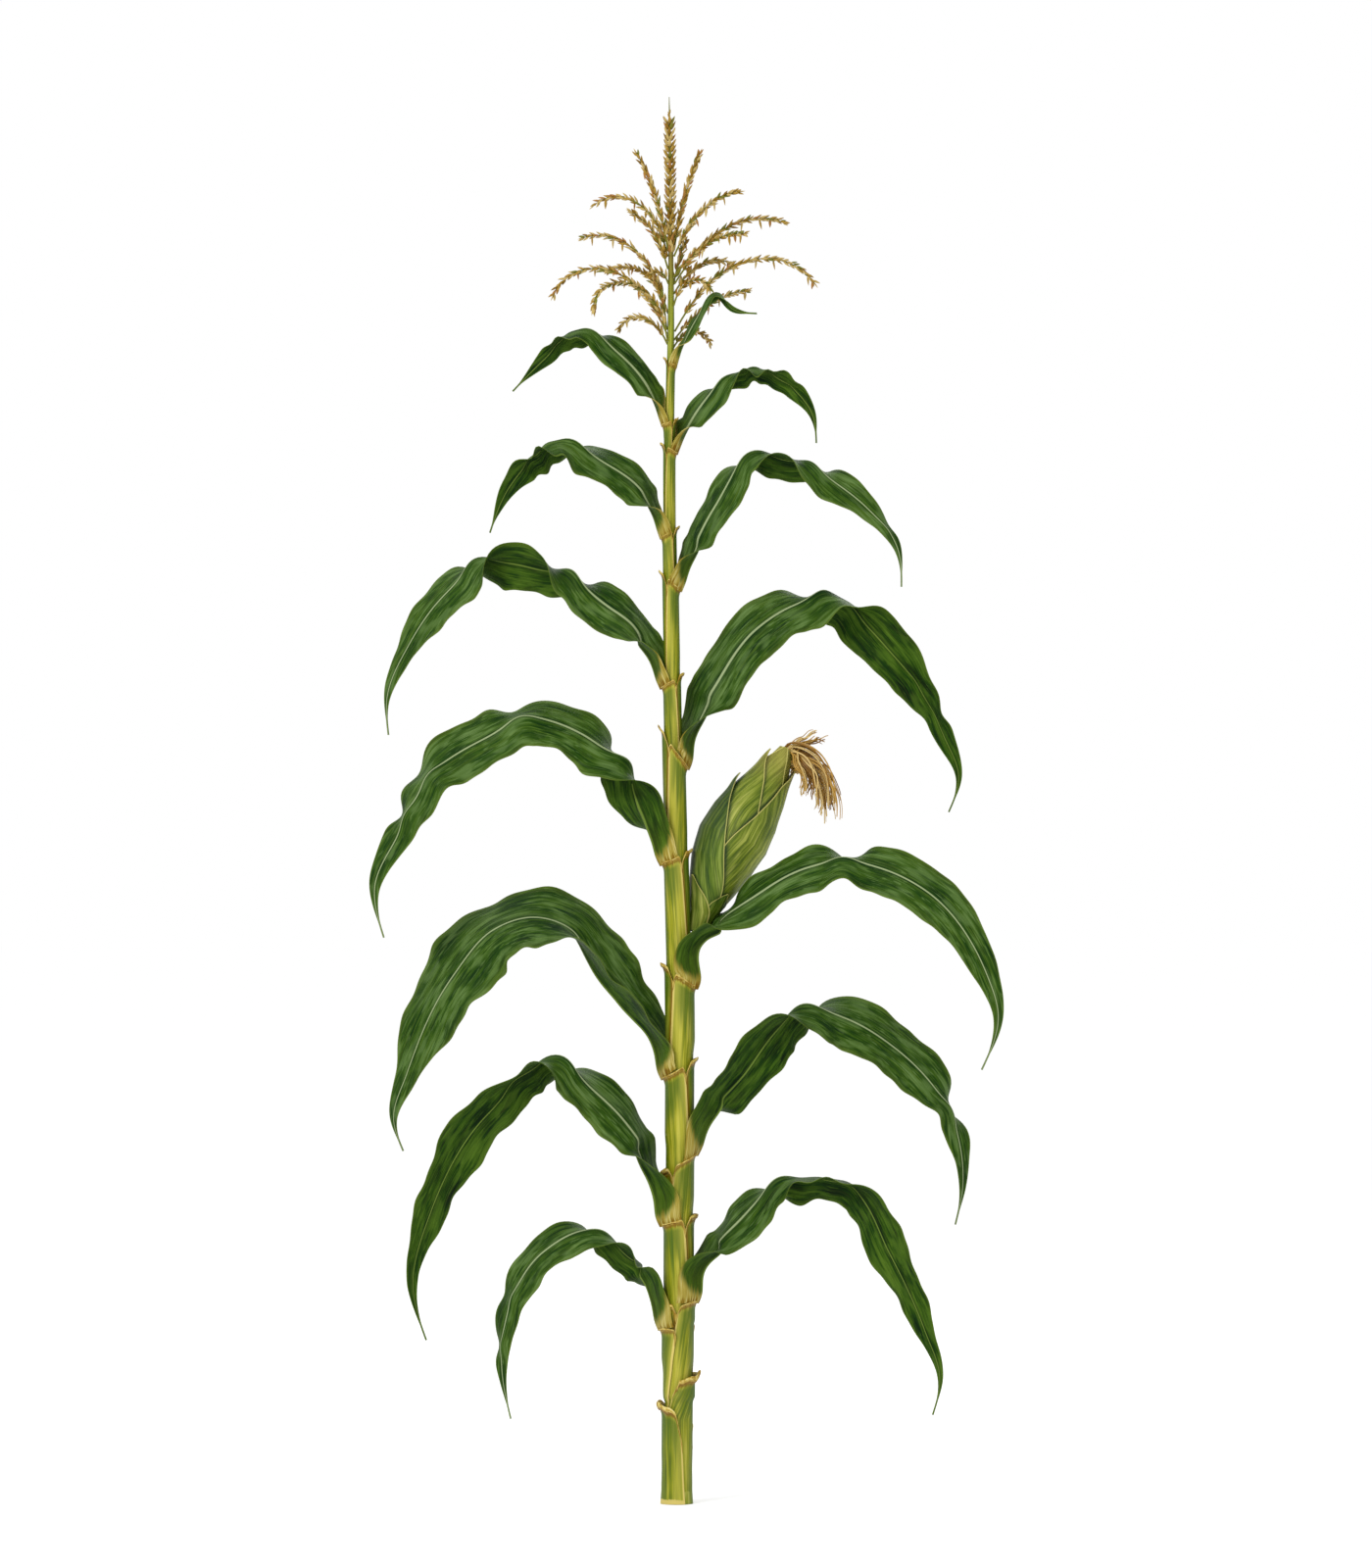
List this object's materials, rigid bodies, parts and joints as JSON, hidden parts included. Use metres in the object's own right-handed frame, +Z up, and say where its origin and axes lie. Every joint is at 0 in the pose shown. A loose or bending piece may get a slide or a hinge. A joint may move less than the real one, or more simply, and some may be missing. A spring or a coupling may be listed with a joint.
{
  "type": "maize plant",
  "caption": "Tall maize plant in flower: a sheathed stalk cut flat at the ground, long arching leaves to left and right, one husked ear with silk, and a branched tassel on top.",
  "frame": {"origin": "middle of the flat cut at the foot of the stalk, at ground level", "axes": "+Z up along the stalk, +X to the right and -Y to the front; the leaves lie in two ranks along -X and +X"},
  "size_m": [0.8992, 0.2299, 2.009],
  "materials": {
    "stalk": "satin, fibrous, pale yellow-green",
    "leaf_green": "satin, veined lengthwise, paler midrib",
    "dry_sheath": "matt, veined, straw-green",
    "tassel": "matt, straw-yellow",
    "husk": "satin, finely veined, light green",
    "silk": "soft threads, golden brown"
  },
  "bodies": {
    "root": {"ear_husks": "husk", "ear_shank": "husk", "ear_silk": "silk", "leaf_01_fall": "leaf_green", "leaf_01_rise": "leaf_green", "leaf_02_fall": "leaf_green", "leaf_02_rise": "leaf_green", "leaf_03_fall": "leaf_green", "leaf_03_rise": "leaf_green", "leaf_04_fall": "leaf_green", "leaf_04_rise": "leaf_green", "leaf_05_fall": "leaf_green", "leaf_05_rise": "leaf_green", "leaf_06_fall": "leaf_green", "leaf_06_rise": "leaf_green", "leaf_07_fall": "leaf_green", "leaf_07_rise": "leaf_green", "leaf_08_fall": "leaf_green", "leaf_08_rise": "leaf_green", "leaf_09_fall": "leaf_green", "leaf_09_rise": "leaf_green", "leaf_10_fall": "leaf_green", "leaf_10_rise": "leaf_green", "leaf_11_fall": "leaf_green", "leaf_11_rise": "leaf_green", "leaf_12_fall": "leaf_green", "leaf_12_rise": "leaf_green", "leaf_13_fall": "leaf_green", "leaf_13_rise": "leaf_green", "leaf_14_fall": "leaf_green", "leaf_14_rise": "leaf_green", "sheath_01": "dry_sheath", "sheath_02": "dry_sheath", "stalk": "stalk", "tassel_branch_01": "tassel", "tassel_branch_02": "tassel", "tassel_branch_03": "tassel", "tassel_branch_04": "tassel", "tassel_branch_05": "tassel", "tassel_branch_06": "tassel", "tassel_branch_07": "tassel", "tassel_branch_08": "tassel", "tassel_branch_09": "tassel", "tassel_branch_10": "tassel", "tassel_branch_11": "tassel", "tassel_branch_12": "tassel", "tassel_branch_13": "tassel", "tassel_branch_14": "tassel", "tassel_branch_15": "tassel", "tassel_branch_16": "tassel", "tassel_branch_17": "tassel", "tassel_branch_18": "tassel", "tassel_branch_19": "tassel", "tassel_spike": "tassel"}
  },
  "joints": []
}
